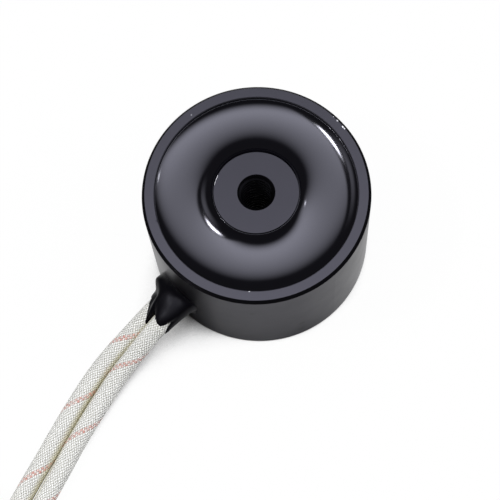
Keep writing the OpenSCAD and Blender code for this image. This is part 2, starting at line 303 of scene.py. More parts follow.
def revolve(profile, turns):
    """A profile of radius and height carried round the axis: x = r cos a, y = r sin a, z = h."""
    a = np.linspace(0, 2 * np.pi, turns, endpoint=False)
    r, h = profile[:, 0], profile[:, 1]
    return np.stack([np.outer(r, np.cos(a)), np.outer(r, np.sin(a)), np.repeat(h[:, None], turns, 1)], -1)


def smooth(x):
    """A step from 0 to 1 with level ends: 3x^2 - 2x^3."""
    x = np.clip(x, 0, 1)
    return x * x * (3 - 2 * x)


def bell(x, middle, width):
    """A bell curve: e^(-((x - middle) / width)^2)."""
    return np.exp(-(((x - middle) / width) ** 2))


def squared(x, q):
    """A wave made squarer: its sign times its size to a power q under 1."""
    return np.sign(x) * np.abs(x) ** q


def spline(knots, spacing):
    """A smooth line through knots, at even spacing.

    Between two knots it is the cubic with each knot's chord-weighted slope at its ends."""
    gap = np.linalg.norm(np.diff(knots, axis=0), axis=1)
    t = np.concatenate([[0], np.cumsum(gap)])
    slope = np.gradient(knots, t, axis=0)
    fine = np.linspace(0, t[-1], 8 * len(knots) + int(t[-1] / spacing) * 4)
    i = np.clip(np.searchsorted(t, fine, side="right") - 1, 0, len(gap) - 1)
    h = gap[i][:, None]
    u = ((fine - t[i]) / gap[i])[:, None]
    line = (
        (2 * u**3 - 3 * u**2 + 1) * knots[i] + (u**3 - 2 * u**2 + u) * h * slope[i]
        + (3 * u**2 - 2 * u**3) * knots[i + 1] + (u**3 - u**2) * h * slope[i + 1]
    )
    run = np.concatenate([[0], np.cumsum(np.linalg.norm(np.diff(line, axis=0), axis=1))])
    even = np.linspace(0, run[-1], int(round(run[-1] / spacing)) + 1)
    return np.stack([np.interp(even, run, line[:, k]) for k in range(3)], -1), even


def frame_along(line):
    """Heading of a line at each point, and the level and upward directions across it."""
    heading = np.gradient(line, axis=0)
    heading /= np.linalg.norm(heading, axis=1)[:, None]
    across = np.cross(heading, [0.0, 0.0, 1.0])
    across /= np.linalg.norm(across, axis=1)[:, None]
    return heading, across, np.cross(across, heading)


def tube(line, radius, sides):
    """Rings round a line: point = line + radius (cos a across + sin a up)."""
    _, across, up = frame_along(line)
    a = np.linspace(0, 2 * np.pi, sides, endpoint=False)
    ring = np.cos(a)[None, :, None] * across[:, None] + np.sin(a)[None, :, None] * up[:, None]
    return line[:, None] + np.broadcast_to(radius, (len(line), sides))[..., None] * ring


def lead_knots(lead, pot, route, exit_h):
    """A lead's open stretch: from inside the wall, down to the floor and along it."""
    low = lead.lead_d / 2
    open_run = np.stack(
        [route[:, 0], -(pot.body_r + route[:, 1]), low + route[:, 2] * (exit_h - low)], -1
    )
    return np.concatenate([[[route[0, 0], -lead.root_r, exit_h]], open_run])


def coil_point(lead, radius, turns):
    """A point of the coil: it turns clockwise from its entry and rises by its pitch in each turn."""
    a = lead.coil_entry - 2 * np.pi * np.asarray(turns)
    return np.stack([
        lead.coil_x + radius * np.cos(a), lead.coil_y + radius * np.sin(a),
        lead.lead_d / 2 + lead.coil_pitch * np.asarray(turns)
    ], -1)


def coil_sizes(lead):
    """Radius and number of turns of each lead in the coil."""
    half = lead.coil_step / 2
    return {"a": (lead.coil_r - half, lead.turns_a), "b": (lead.coil_r + half, lead.turns_b)}


def lead_line(lead, pot, route, exit_h, radius, turns):
    """A lead's whole centreline: its open stretch, straight on to the coil, and round it."""
    knots_per_turn, spacing = 36, 0.0004
    first = lead_knots(lead, pot, route, exit_h)
    start = coil_point(lead, radius, 0.0)
    straight = first[-1] + (start - first[-1]) * np.linspace(0.25, 0.75, 3)[:, None]
    wound = coil_point(lead, radius, np.linspace(0, turns, int(knots_per_turn * turns)))
    return spline(np.concatenate([first, straight, wound]), spacing)


# Materials

def put(tree, kind, inputs=(), **settings):
    """Adds a node. Inputs are plain values, or outputs of other nodes, which are linked."""
    made = tree.nodes.new(kind)
    for key, value in settings.items():
        setattr(made, key, value)
    for key, value in dict(inputs).items():
        if isinstance(value, bpy.types.NodeSocket):
            tree.links.new(value, made.inputs[key])
        else:
            made.inputs[key].default_value = value
    return made


def calc(tree, operation, *values):
    """Output of a Math node."""
    return put(tree, "ShaderNodeMath", enumerate(values), operation=operation).outputs[0]


def noise(tree, place, scale, detail=3.0, roughness=0.5):
    """Output of a Noise Texture on a coordinate."""
    made = put(
        tree, "ShaderNodeTexNoise",
        {"Vector": place, "Scale": scale, "Detail": detail, "Roughness": roughness}
    )
    return made.outputs["Fac"]


def scaled(tree, value, low, high, out_low, out_high):
    """Output of a Map Range node, held between its ends."""
    return put(tree, "ShaderNodeMapRange", enumerate([value, low, high, out_low, out_high])).outputs[0]


def blend(tree, factor, first, second):
    """Colour that goes from the first to the second with the factor."""
    return put(tree, "ShaderNodeMix", {0: factor, 6: first, 7: second}, data_type="RGBA").outputs[2]


def rgba(tint, times=1.0):
    """A colour with its fourth number."""
    return (*[min(1.0, c * times) for c in tint], 1.0)


def new_finish(name, **values):
    """A material, its tree and its shader, with constants set on the shader's own sockets."""
    material = bpy.data.materials.new(name)
    material.use_nodes = True
    tree = material.node_tree
    shader = tree.nodes["Principled BSDF"]
    for key, value in values.items():
        shader.inputs[key.replace("_", " ")].default_value = value
    return material, tree, shader


def object_place(tree):
    """Output of the Object coordinate."""
    return put(tree, "ShaderNodeTexCoord").outputs["Object"]


def bump(tree, shader, height, depth, strength=1.0):
    """A bump of some depth in metres on the shader's normal."""
    made = put(tree, "ShaderNodeBump", {"Height": height, "Distance": depth, "Strength": strength})
    tree.links.new(made.outputs[0], shader.inputs["Normal"])


def distance(tree, place, point):
    """Distance of a coordinate from a point."""
    return put(tree, "ShaderNodeVectorMath", {0: place, 1: point}, operation="DISTANCE").outputs["Value"]


def black_steel(pot, name="black_steel", times=1.0, rough=0.27):
    """Blackened steel, satin, with a fine grain and smudges, dull inside the ring.

    It has chips on its edges and a bright line of bare-steel colour on the pole's edge."""
    material, tree, shader = new_finish(name, Metallic=1.0, Specular_Tint=(0.65, 0.65, 0.65, 1.0))
    place = object_place(tree)
    grain = noise(tree, place, 2600, 4, 0.6)
    cloud = noise(tree, place, 160, 3)
    # times scales the whole black; the thread in the hole uses it for painted shade.
    tint = blend(tree, cloud, rgba(pot.black, 0.92 * times), rgba(pot.black, 1.08 * times))
    across = put(tree, "ShaderNodeVectorMath", {0: place, 1: (1, 1, 0)}, operation="MULTIPLY").outputs[0]
    radius = put(tree, "ShaderNodeVectorMath", {0: across}, operation="LENGTH").outputs["Value"]
    tint = blend(tree, scaled(tree, radius, 0.0075, 0.0165, 0.16, 0), tint, BLACK)
    for point, size in SMUDGES:
        soft = scaled(tree, distance(tree, place, point), 0.0, size, 0.6, 0.0)
        tint = blend(tree, soft, tint, BLACK)
    spread = noise(tree, place, 2200, 2)
    # A short bright line along the pole's edge and the chips take the bare steel's colour.
    off_edge = calc(tree, "ABSOLUTE", calc(tree, "SUBTRACT", radius, pot.pole_r - 0.00012))
    line = calc(tree, "LESS_THAN", off_edge, calc(tree, "MULTIPLY_ADD", spread, 0.00014, -0.00002))
    worn = calc(tree, "MULTIPLY", line, calc(tree, "LESS_THAN", distance(tree, place, POLE_EDGE_LINE), 0.0009))
    for point, size in CHIPS:
        edge = calc(tree, "MULTIPLY_ADD", spread, size, size * 0.4)
        worn = calc(tree, "MAXIMUM", worn, calc(tree, "LESS_THAN", distance(tree, place, point), edge))
    tree.links.new(blend(tree, worn, tint, rgba(pot.bare_steel)), shader.inputs["Base Color"])
    inside = calc(tree, "ABSOLUTE", calc(tree, "SUBTRACT", radius, pot.ring_in_r))
    dull = scaled(tree, inside, 0.0001, 0.0002, 0.7, rough)
    gloss = calc(tree, "MAXIMUM", scaled(tree, cloud, 0.3, 0.7, rough, rough + 0.05), dull)
    tree.links.new(gloss, shader.inputs["Roughness"])
    bump(tree, shader, grain, 0.00001, 0.5)
    return material


def black_resin(resin, name, gloss, smooth_to, rough_to):
    """Black casting resin with slight waves and patches of haze."""
    material, tree, shader = new_finish(
        name, Specular_IOR_Level=gloss, Specular_Tint=(0.87, 0.87, 1.0, 1.0)
    )
    place = object_place(tree)
    haze = noise(tree, place, 220, 4, 0.6)
    tree.links.new(
        blend(tree, haze, rgba(resin.black, 0.85), rgba(resin.black, 1.15)), shader.inputs["Base Color"]
    )
    tree.links.new(scaled(tree, haze, 0.35, 0.75, smooth_to, rough_to), shader.inputs["Roughness"])
    bump(tree, shader, noise(tree, place, 350, 2), 0.00001, 0.15)
    return material


def braided_yarn(lead, name, shift, inside):
    """Glass yarn braid: two sets of yarns wind round against each other, one over and one under.

    On the piece's own map, u runs once round and v counts turns' worth of length. A yarn's number is
    the whole part of yarns * (u + k v) or yarns * (u - k v), and the yarn on top changes from one
    crossing to the next. Two yarns of the first set are the tracer. The low parts between the yarns
    get painted shade, and the side that faces the other lead, where u is inside, gets a darker,
    yellow-olive painted shade."""
    material, tree, shader = new_finish(name, Roughness=0.75, Specular_IOR_Level=0.3, Sheen_Weight=0.15)
    map_uv = put(tree, "ShaderNodeUVMap", uv_map="along")
    split = put(tree, "ShaderNodeSeparateXYZ", {0: map_uv.outputs[0]})
    place = object_place(tree)
    u = calc(tree, "MULTIPLY_ADD", noise(tree, place, 1100, 2), 0.03, split.outputs[0])
    v = calc(tree, "MULTIPLY_ADD", noise(tree, place, 900, 2), 0.03, split.outputs[1])
    wind = float(np.pi * lead.lead_d / lead.tracer_pitch)
    around = calc(tree, "MULTIPLY", v, wind)
    first = calc(tree, "MULTIPLY", calc(tree, "ADD", calc(tree, "ADD", u, around), shift), lead.yarns)
    second = calc(tree, "MULTIPLY", calc(tree, "ADD", calc(tree, "SUBTRACT", u, around), shift), lead.yarns)
    arch_1 = calc(tree, "ABSOLUTE", calc(tree, "SINE", calc(tree, "MULTIPLY", first, np.pi)))
    arch_2 = calc(tree, "ABSOLUTE", calc(tree, "SINE", calc(tree, "MULTIPLY", second, np.pi)))
    number_1, number_2 = calc(tree, "FLOOR", first), calc(tree, "FLOOR", second)
    over = calc(tree, "FLOORED_MODULO", calc(tree, "ADD", number_1, number_2), 2.0)
    top = put(tree, "ShaderNodeMix", {0: over, 2: arch_1, 3: arch_2}).outputs[0]
    side = put(tree, "ShaderNodeMix", {0: over, 2: arch_2, 3: arch_1}).outputs[0]
    height = calc(tree, "MULTIPLY", calc(tree, "POWER", top, 0.7), calc(tree, "MULTIPLY_ADD", side, 0.5, 0.5))
    in_turn = calc(tree, "FLOORED_MODULO", number_1, float(lead.yarns))
    raised = scaled(tree, height, 0.2, 0.8, 0.35, 1.0)
    stitch = calc(tree, "MULTIPLY", scaled(tree, over, 0, 1, 1, 0.3), raised)
    faded = scaled(tree, noise(tree, place, 1500, 2), 0.3, 0.65, 0.4, 1.0)
    marked = calc(tree, "LESS_THAN", in_turn, 1.5)
    tracer = calc(tree, "MULTIPLY", marked, calc(tree, "MULTIPLY", stitch, faded))
    soil = noise(tree, place, 500, 3)
    # Painted shade: the braid's low parts between the yarns take the darker gap colour.
    tint = blend(tree, scaled(tree, height, 0.1, 0.7, 0, 1), rgba(lead.gap), rgba(lead.yarn, 1.05))
    tint = blend(tree, scaled(tree, soil, 0.45, 0.8, 0, 0.25), tint, rgba(lead.yarn, 0.75))
    # Painted shade between the leads: the side that faces the other lead turns darker and yellower.
    facing = calc(tree, "COSINE", calc(tree, "MULTIPLY", calc(tree, "SUBTRACT", u, inside), 2 * np.pi))
    tint = blend(tree, scaled(tree, facing, 0.6, 1.0, 0, 0.7), tint, rgba(lead.shade_between_leads))
    tint = blend(tree, calc(tree, "MULTIPLY", tracer, 0.8), tint, rgba(lead.tracer))
    tree.links.new(tint, shader.inputs["Base Color"])
    bump(tree, shader, height, 0.00022, 0.75)
    return material


def tinned_wire():
    """Tinned copper: bright grey with fine drawn lines and dull patches."""
    material, tree, shader = new_finish("tinned_wire", Metallic=1.0)
    place = object_place(tree)
    dull = noise(tree, place, 900, 4)
    tree.links.new(
        blend(tree, dull, (0.5, 0.49, 0.47, 1), (0.74, 0.73, 0.71, 1)), shader.inputs["Base Color"]
    )
    tree.links.new(scaled(tree, dull, 0.3, 0.7, 0.28, 0.5), shader.inputs["Roughness"])
    bump(tree, shader, noise(tree, place, 4000, 2), 0.00001, 0.4)
    return material


def moulded_nylon(name, tint, rough):
    """Moulded nylon: an even colour with faint flow clouds and a fine matt grain."""
    material, tree, shader = new_finish(name, Specular_IOR_Level=0.45)
    place = object_place(tree)
    cloud = noise(tree, place, 130, 3)
    tree.links.new(blend(tree, cloud, rgba(tint, 0.88), rgba(tint, 1.08)), shader.inputs["Base Color"])
    tree.links.new(scaled(tree, cloud, 0.3, 0.7, rough, rough + 0.1), shader.inputs["Roughness"])
    bump(tree, shader, noise(tree, place, 3000, 3), 0.00001, 0.4)
    return material


def wound_copper():
    """Enamelled magnet wire: rows of turns along the axis, half a millimetre apart."""
    material, tree, shader = new_finish("wound_copper", Metallic=0.9, Roughness=0.3)
    apart = 0.0005
    height = put(tree, "ShaderNodeSeparateXYZ", {0: object_place(tree)}).outputs[2]
    turn = calc(tree, "ABSOLUTE", calc(tree, "SINE", calc(tree, "MULTIPLY", height, float(np.pi / apart))))
    # Painted shade: the copper's colour darkens into the grooves between turns.
    tree.links.new(
        blend(tree, turn, (0.22, 0.07, 0.03, 1), (0.72, 0.3, 0.13, 1)), shader.inputs["Base Color"]
    )
    bump(tree, shader, turn, 0.0002)
    return material


def woven_cloth(name, tint, scale):
    """Woven tape or sleeve: a fine check of crossing threads on the piece's own coordinates."""
    material, tree, shader = new_finish(name, Roughness=0.8, Specular_IOR_Level=0.3)
    place = object_place(tree)
    check = put(tree, "ShaderNodeTexChecker", {"Vector": place, "Scale": scale}).outputs["Fac"]
    worn = calc(tree, "MULTIPLY_ADD", noise(tree, place, 700, 3), 0.6, calc(tree, "MULTIPLY", check, 0.4))
    tree.links.new(blend(tree, worn, rgba(tint, 0.75), rgba(tint, 1.05)), shader.inputs["Base Color"])
    bump(tree, shader, check, 0.00005, 0.6)
    return material


# Pieces

class MAGNET_OT_camera(bpy.types.Operator):
    """Set the camera at the photograph's viewing angle."""
    bl_idname = "magnet.camera"
    bl_label = "Camera"

    def execute(self, context):
        studio = context.scene.magnet_studio
        made = bpy.data.objects.new("camera", bpy.data.cameras.new("camera"))
        context.scene.collection.objects.link(made)
        back = CAMERA_RIGHT.cross(CAMERA_UP)
        turn = Matrix((CAMERA_RIGHT, CAMERA_UP, back)).transposed().to_4x4()
        made.matrix_world = Matrix.Translation(studio.camera_place) @ turn
        made.data.lens = studio.lens
        made.data.sensor_width = 36.0
        made.data.clip_start, made.data.clip_end = 0.01, 20.0
        context.scene.camera = made
        return {"FINISHED"}


class MAGNET_OT_leads(bpy.types.Operator):
    """Lay both braided leads: out of the wall, down to the floor and into their coil."""
    bl_idname = "magnet.leads"
    bl_label = "Braided leads"

    def execute(self, context):
        scene = context.scene
        pot, lead = scene.magnet_pot, scene.magnet_lead
        end_round, end_size, sides = 0.0012, 0.55, 32
        for letter, route, exit_h, shift, inside in (
            ("a", ROUTE_A, lead.exit_a, 0.78, 0.5), ("b", ROUTE_B, lead.exit_b, 0.515, 0.0)
        ):
            radius, turns = coil_sizes(lead)[letter]
            line, run = lead_line(lead, pot, route, exit_h, radius, turns)
            uneven = 0.012 * np.sin(run * 310 + radius * 900) * np.sin(run * 87)
            size = lead.lead_d / 2 * (1 + uneven)
            to_end = np.clip((run[-1] - run) / end_round, 0, 1)
            size = size * (end_size + (1 - end_size) * np.sqrt(1 - (1 - to_end) ** 2))
            grid = tube(line, size[:, None], sides)
            piece = surface(f"braided_lead_{letter}", [grid], uv_rows=run / (np.pi * lead.lead_d))
            finish_piece(
                piece, braided_yarn(lead, f"braided_yarn_{letter}", shift, inside), "braid",
                f"lead_{letter}", f"lead_{letter}_coil"
            )
            piece["line"] = line[::6].ravel().tolist()
        return {"FINISHED"}


class MAGNET_OT_lead_ends(bpy.types.Operator):
    """Twist the bare, tinned ends of the leads from seven strands each."""
    bl_idname = "magnet.lead_ends"
    bl_label = "Bare ends"

    def execute(self, context):
        lead = context.scene.magnet_lead
        wire = tinned_wire()
        strand_r = lead.strand_d / 6
        twist_pitch, sides = 0.009, 10
        for letter, (radius, turns) in coil_sizes(lead).items():
            a = lead.coil_entry - 2 * np.pi * turns
            ahead = np.array([np.sin(a), -np.cos(a), 0.0])
            side = np.array([np.cos(a), np.sin(a), 0.0])
            run = np.linspace(-0.001, lead.strip_l, 40)
            middle = coil_point(lead, radius, turns) + run[:, None] * ahead
            grids = [tube(middle, strand_r, sides)]
            for k in range(6):
                twist = k * np.pi / 3 + run * 2 * np.pi / twist_pitch
                away = 2 * strand_r * (1 + 0.25 * smooth((run - 0.006) / 0.002) * (k % 3 == 1))
                offset = np.cos(twist)[:, None] * side + np.sin(twist)[:, None] * [0.0, 0.0, 1.0]
                grids.append(tube(middle + np.reshape(away, (-1, 1)) * offset, strand_r, sides))
            finish_piece(surface(f"bare_end_{letter}", grids), wire, "tinned_strand", f"lead_{letter}_end")
        return {"FINISHED"}


class MAGNET_OT_lead_seal(bpy.types.Operator):
    """Run the resin mound over the lead hole and out along the leads."""
    bl_idname = "magnet.lead_seal"
    bl_label = "Lead seal"

    def execute(self, context):
        scene = context.scene
        pot, lead, seal, resin = scene.magnet_pot, scene.magnet_lead, scene.magnet_seal, scene.magnet_resin
        finish_piece(
            surface("resin_seal", [seal_grid(pot, lead, seal)]),
            black_resin(resin, "seal_resin", 0.13, 0.38, 0.48), "black_resin", "lead_seal"
        )
        return {"FINISHED"}


def seal_grid(pot, lead, seal):
    """The seal's skin: rings round both leads, from inside the wall to the coat's ragged edge.

    A ring's radius at an angle is the outline of the two leads with the coat on them, filled in
    between them, plus a foot on the wall that falls as e^(-distance / run), on one side a lobe
    that stays full and then drops in a smooth step, a crest over the valley and a hollow beside
    it, each a bell curve of angle and distance. The angle also sets how far out the coat's edge
    lies. The rings have more points in the two valleys."""
    t = np.linspace(-np.pi, np.pi, 288, endpoint=False)
    a = np.pi / 2 + t - 0.36 * np.sin(2 * t)
    cos, sin, degrees = np.cos(a), np.sin(a), np.degrees(a)
    reach = np.interp(degrees, SEAL_EDGE[:, 0], SEAL_EDGE[:, 1], period=360)
    foot, run = (np.interp(degrees, SEAL_FOOT[:, 0], SEAL_FOOT[:, k], period=360) for k in (1, 2))
    wall = np.linspace(-0.0012, seal.mound_l, 44)
    out = np.linspace(0, 1, 45)[1:]
    dist = np.concatenate([
        np.repeat(wall[:, None], len(a), 1), seal.mound_l + out[:, None] * (reach - seal.mound_l),
        np.repeat(reach[None], 4, 0),
    ])
    gone = np.clip((dist - seal.mound_l) / (reach - seal.mound_l), 0, 1)
    at_a, at_b = (
        np.stack([np.interp(dist, -line[:, 1] - pot.body_r, line[:, k]) for k in (0, 2)], -1)
        for line in (
            spline(lead_knots(lead, pot, ROUTE_A, lead.exit_a), 0.0002)[0],
            spline(lead_knots(lead, pot, ROUTE_B, lead.exit_b), 0.0002)[0],
        )
    )
    middle, span = (at_a + at_b) / 2, (at_b - at_a) / 2
    half = np.linalg.norm(span, axis=-1)
    along = span / half[..., None]
    coated = lead.lead_d / 2 + 0.00005 + seal.coat_t * np.sqrt(1 - gone**3)
    pair = half * np.abs(cos) + np.sqrt(np.maximum(coated**2 - (half * sin) ** 2, 1e-12))
    oval = 1 / ((np.abs(cos) / (half + coated)) ** 2.5 + (np.abs(sin) / coated) ** 2.5) ** 0.4
    coat = pair + (oval - pair) * (0.97 - 0.6 * smooth((gone - 0.4) / 0.6))
    lobe_at, lobe_wide, lobe_end, lobe_drop = SEAL_LOBE
    lobe = bell(degrees, lobe_at, lobe_wide)
    fall = np.minimum(np.exp(-dist / run), 1.25) * (1 - lobe) + smooth((lobe_end - dist) / lobe_drop) * lobe
    crest, hollow = (
        size * bell(degrees, at, wide) * bell(dist, far, long)
        for size, at, wide, far, long in (SEAL_CREST, SEAL_HOLLOW)
    )
    radius = coat + np.maximum(foot - coat, 0) * fall + crest - hollow
    radius = radius * (1 + 0.012 * np.sin(3 * a + dist * 900) + 0.009 * np.sin(5 * a - dist * 1500))
    inner = np.ones(len(dist))
    inner[:2] = [0.6, 0.72]
    inner[-4:] = [0.95, 0.85, 0.6, 0.3]
    u, v = radius * inner[:, None] * cos, radius * inner[:, None] * sin
    return np.stack([
        middle[..., 0] + u * along[..., 0] - v * along[..., 1],
        -(pot.body_r + dist),
        middle[..., 1] + u * along[..., 1] + v * along[..., 0],
    ], -1)


class MAGNET_OT_resin(bpy.types.Operator):
    """Cast the resin in the groove round the coil."""
    bl_idname = "magnet.resin"
    bl_label = "Cast resin"

    def execute(self, context):
        scene = context.scene
        pot, resin = scene.magnet_pot, scene.magnet_resin
        finish_piece(
            surface("cast_resin", [resin_grid(pot, resin)], ring_rows=True),
            black_resin(resin, "cast_resin", 0.9, 0.1, 0.14), "black_resin", "resin_fill"
        )
        return {"FINISHED"}


def resin_grid(pot, resin):
    """The resin ring, whose free surface climbs to both walls.

    z = face - floor + (floor - pole) e^(-(r - pole_r)/m) + (floor - ring) e^(-(ring_r - r)/m)
    with drops below the face. Underneath it follows the bobbin's box."""
    r = np.linspace(pot.pole_r, pot.ring_in_r, 160)
    z = (
        pot.body_h - resin.floor_drop
        + (resin.floor_drop - resin.pole_drop) * np.exp(-(r - pot.pole_r) / resin.meniscus)
        + (resin.floor_drop - resin.ring_drop) * np.exp(-(pot.ring_in_r - r) / resin.meniscus)
    )
    spool_r, tape_r, bore_r, flange_t, spool_h = 0.0136, 0.0133, 0.00735, 0.0009, 0.0146
    low = pot.base_t
    high = low + spool_h
    under = np.array([
        [pot.ring_in_r, low], [spool_r, low], [spool_r, low + flange_t], [tape_r, low + flange_t],
        [tape_r, high - flange_t], [spool_r, high - flange_t], [spool_r, high],
        [bore_r, high], [bore_r, low], [pot.pole_r, low],
    ])
    return revolve(np.concatenate([np.stack([r, z], -1), under]), 288)


class MAGNET_OT_thread(bpy.types.Operator):
    """Cut the mounting thread's ridge into the hole through the pole."""
    bl_idname = "magnet.thread"
    bl_label = "Mounting thread"

    def execute(self, context):
        pot = context.scene.magnet_pot
        finish_piece(
            surface("mounting_thread", [thread_grid(pot)], ring_rows=True),
            # Painted shade: the thread's black is cut to 15 % of the pot's, for the shade deep in the hole.
            black_steel(pot, "thread_painted_shade", 0.15, 0.5), "black_steel"
        )
        return {"FINISHED"}


def thread_grid(pot):
    """A sleeve in the hole with the thread on its inside.

    The inner radius is the major one less the ridge, a blunt triangle of z / pitch - a / turn,
    and it opens to the major radius at both mouths at 45 degrees."""
    sides, rows, clear = 96, 400, 0.00001
    foot, flank, depth = 0.875, 0.625, 0.5413
    a = np.linspace(0, 2 * np.pi, sides, endpoint=False)[None]
    z = np.linspace(2 * clear, pot.body_h - 2 * clear, rows)[:, None]
    part = (z / pot.thread_pitch - a / (2 * np.pi)) % 1
    ridge = np.clip((foot - np.abs(2 * part - 1)) / flank, 0, 1) * depth * pot.thread_pitch
    mouth = np.minimum(z, pot.body_h - z)
    inner = pot.thread_r - clear - np.minimum(ridge, mouth)
    outer = np.full((2, sides), pot.thread_r + 2 * clear)
    radius = np.concatenate([inner, outer])
    height = np.broadcast_to(np.concatenate([z, z[-1:], z[:1]]), radius.shape)
    return np.stack([radius * np.cos(a), radius * np.sin(a), height], -1)


class MAGNET_OT_coil_tie(bpy.types.Operator):
    """Tie the coiled leads with a plastic band."""
    bl_idname = "magnet.coil_tie"
    bl_label = "Coil tie"

    def execute(self, context):
        lead = context.scene.magnet_lead
        finish_piece(
            surface("tie_band", tie_grids(lead)),
            moulded_nylon("tie_nylon", (0.05, 0.05, 0.05), 0.42), "tie_nylon", "coil_tie"
        )
        return {"FINISHED"}


def tie_grids(lead):
    """The tie: a flat band round the turns, its head and its tail.

    The band's middle line is a rounded square, x = w c|c|^(q-1), z = h s|s|^(q-1), and its section a
    rounded oblong. The head is the solid of the same kind of curve both ways."""
    t = np.linspace(0, 2 * np.pi, 121)
    line_r, line_z = TIE_LOOP[0] * squared(np.cos(t), 0.32), TIE_LOOP[1] * squared(np.sin(t), 0.32)
    out = np.stack([np.gradient(line_z), -np.gradient(line_r)], -1)
    out /= np.linalg.norm(out, axis=1)[:, None] + 1e-12
    k = np.linspace(0, 2 * np.pi, 24, endpoint=False)
    flat, wide = TIE_BAND[0] * squared(np.cos(k), 0.5), TIE_BAND[1] * squared(np.sin(k), 0.35)
    band = np.stack([
        line_r[:, None] + out[:, :1] * flat, np.broadcast_to(wide, (len(t), len(k))),
        line_z[:, None] + out[:, 1:] * flat
    ], -1)
    lat = np.linspace(-np.pi / 2 + 0.02, np.pi / 2 - 0.02, 24)[:, None]
    ring = squared(np.cos(k), 0.3), squared(np.sin(k), 0.3)
    girth = np.abs(np.cos(lat)) ** 0.3
    head = np.stack([
        TIE_HEAD_PLACE[0] + TIE_HEAD[0] * girth * ring[0], TIE_HEAD[1] * girth * ring[1],
        TIE_HEAD_PLACE[1] + TIE_HEAD[2] * np.broadcast_to(squared(np.sin(lat), 0.3), (24, 24))
    ], -1)
    s = np.linspace(0, 1, 20)[:, None]
    start_r, bend, half_t, half_w, start_z, tail_l = 0.0055, 0.0009, 0.0004, 0.0012, -0.001, 0.0066
    tail = np.stack([
        start_r + bend * s**2 + half_t * ring[0] * (1 - 0.3 * s), (1.0 - 0.35 * s) * half_w * ring[1],
        start_z + tail_l * np.broadcast_to(s, (20, 24))
    ], -1)
    a = lead.coil_entry - np.pi
    cos, sin = np.cos(a), np.sin(a)
    placed = []
    for part in (band, head, tail):
        r = lead.coil_r + part[..., 0]
        placed.append(np.stack([
            lead.coil_x + r * cos - part[..., 1] * sin, lead.coil_y + r * sin + part[..., 1] * cos,
            TIE_MIDDLE + part[..., 2]
        ], -1))
    return placed


class MAGNET_OT_finishes(bpy.types.Operator):
    """Give the solids that show as they are, and those inside, their finishes."""
    bl_idname = "magnet.finishes"
    bl_label = "Finishes"

    def execute(self, context):
        pot = context.scene.magnet_pot
        wire, sleeve = tinned_wire(), woven_cloth("glass_sleeve", (0.86, 0.84, 0.78), 3000)
        finishes = {
            "pot_body": black_steel(pot),
            "bobbin": moulded_nylon("bobbin_nylon", (0.82, 0.8, 0.74), 0.5),
            "winding": wound_copper(),
            "winding_tape": woven_cloth("coil_tape", (0.85, 0.8, 0.62), 2200),
            "lead_a_root": wire, "lead_b_root": wire, "crimp_a": wire, "crimp_b": wire,
            "sleeve_a": sleeve, "sleeve_b": sleeve,
        }
        for node, material in finishes.items():
            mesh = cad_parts[node].data
            mesh.materials.clear()
            mesh.materials.append(material)
        return {"FINISHED"}


class MAGNET_OT_cords(bpy.types.Operator):
    bl_idname = "magnet.cords"
    bl_label = "Cord facts"

    def execute(self, context):
        pot, lead = context.scene.magnet_pot, context.scene.magnet_lead
        for letter, route, exit_h, more in (
            ("a", ROUTE_A, lead.exit_a, ["resin_seal", "tie_band"]), ("b", ROUTE_B, lead.exit_b, [])
        ):
            piece = bpy.data.objects[f"braided_lead_{letter}"]
            del piece["line"]
        return {"FINISHED"}


class MAGNET_OT_studio(bpy.types.Operator):
    """Set up the pale floor, the soft lamps and the background."""
    bl_idname = "magnet.studio"
    bl_label = "Studio"

    def execute(self, context):
        scene = context.scene
        studio = scene.magnet_studio
        scene.view_settings.view_transform = "Standard"
        floor_mesh = bpy.data.meshes.new("floor")
        floor_mesh.from_pydata([(-3, -3, 0), (3, -3, 0), (3, 3, 0), (-3, 3, 0)], [], [(0, 1, 2, 3)])
        floor = bpy.data.objects.new("floor", floor_mesh)
        scene.collection.objects.link(floor)
        floor_mesh.materials.append(pale_floor(studio))
        world = bpy.data.worlds.new("studio")
        world.use_nodes = True
        tree = world.node_tree
        path = put(tree, "ShaderNodeLightPath").outputs
        seen = calc(tree, "MAXIMUM", path["Is Camera Ray"], path["Is Transmission Ray"])
        seen = calc(tree, "MAXIMUM", seen, calc(tree, "MULTIPLY", path["Is Glossy Ray"], GLOSS_SHARE))
        tree.links.new(scaled(tree, seen, 0, 1, FILL_SHARE, 1.0), tree.nodes["Background"].inputs["Strength"])
        tree.nodes["Background"].inputs["Color"].default_value = WHITE
        scene.world = world
        for lamp in (
            soft_lamp("ceiling_lamp", 3.2, 1.4, studio.ceiling_power, studio.tint, (0.04, 0.78, 0.39, 0.63)),
            soft_lamp("panel_lamp", 1.0, 0.36, studio.panel_power, studio.tint, (0.5, 0.5, 0.6, 0.15)),
            soft_lamp("key_lamp", 0.36, 0.13, studio.key_power, (1, 1, 1), (0.5, 0.5, 0.5, 0.5)),
            soft_lamp("side_lamp", 0.12, 0.12, studio.side_power, (1, 1, 1), (0.5, 0.5, 0.5, 0.5)),
        ):
            scene.collection.objects.link(lamp)
            azimuth, height, away = LAMP_PLACES[lamp.name]
            a, e = np.radians(azimuth + PICTURE_TURN), np.radians(height)
            back = Vector((np.cos(a) * np.cos(e), np.sin(a) * np.cos(e), np.sin(e)))
            lamp.location = Vector((0, 0, 0.02)) + away * back
            lamp.rotation_mode = "QUATERNION"
            lamp.rotation_quaternion = back.to_track_quat("Z", "Y")
        ceiling = bpy.data.objects["ceiling_lamp"]
        ceiling.rotation_quaternion = Matrix.Rotation(np.radians(PICTURE_TURN), 3, "Z").to_quaternion()
        return {"FINISHED"}


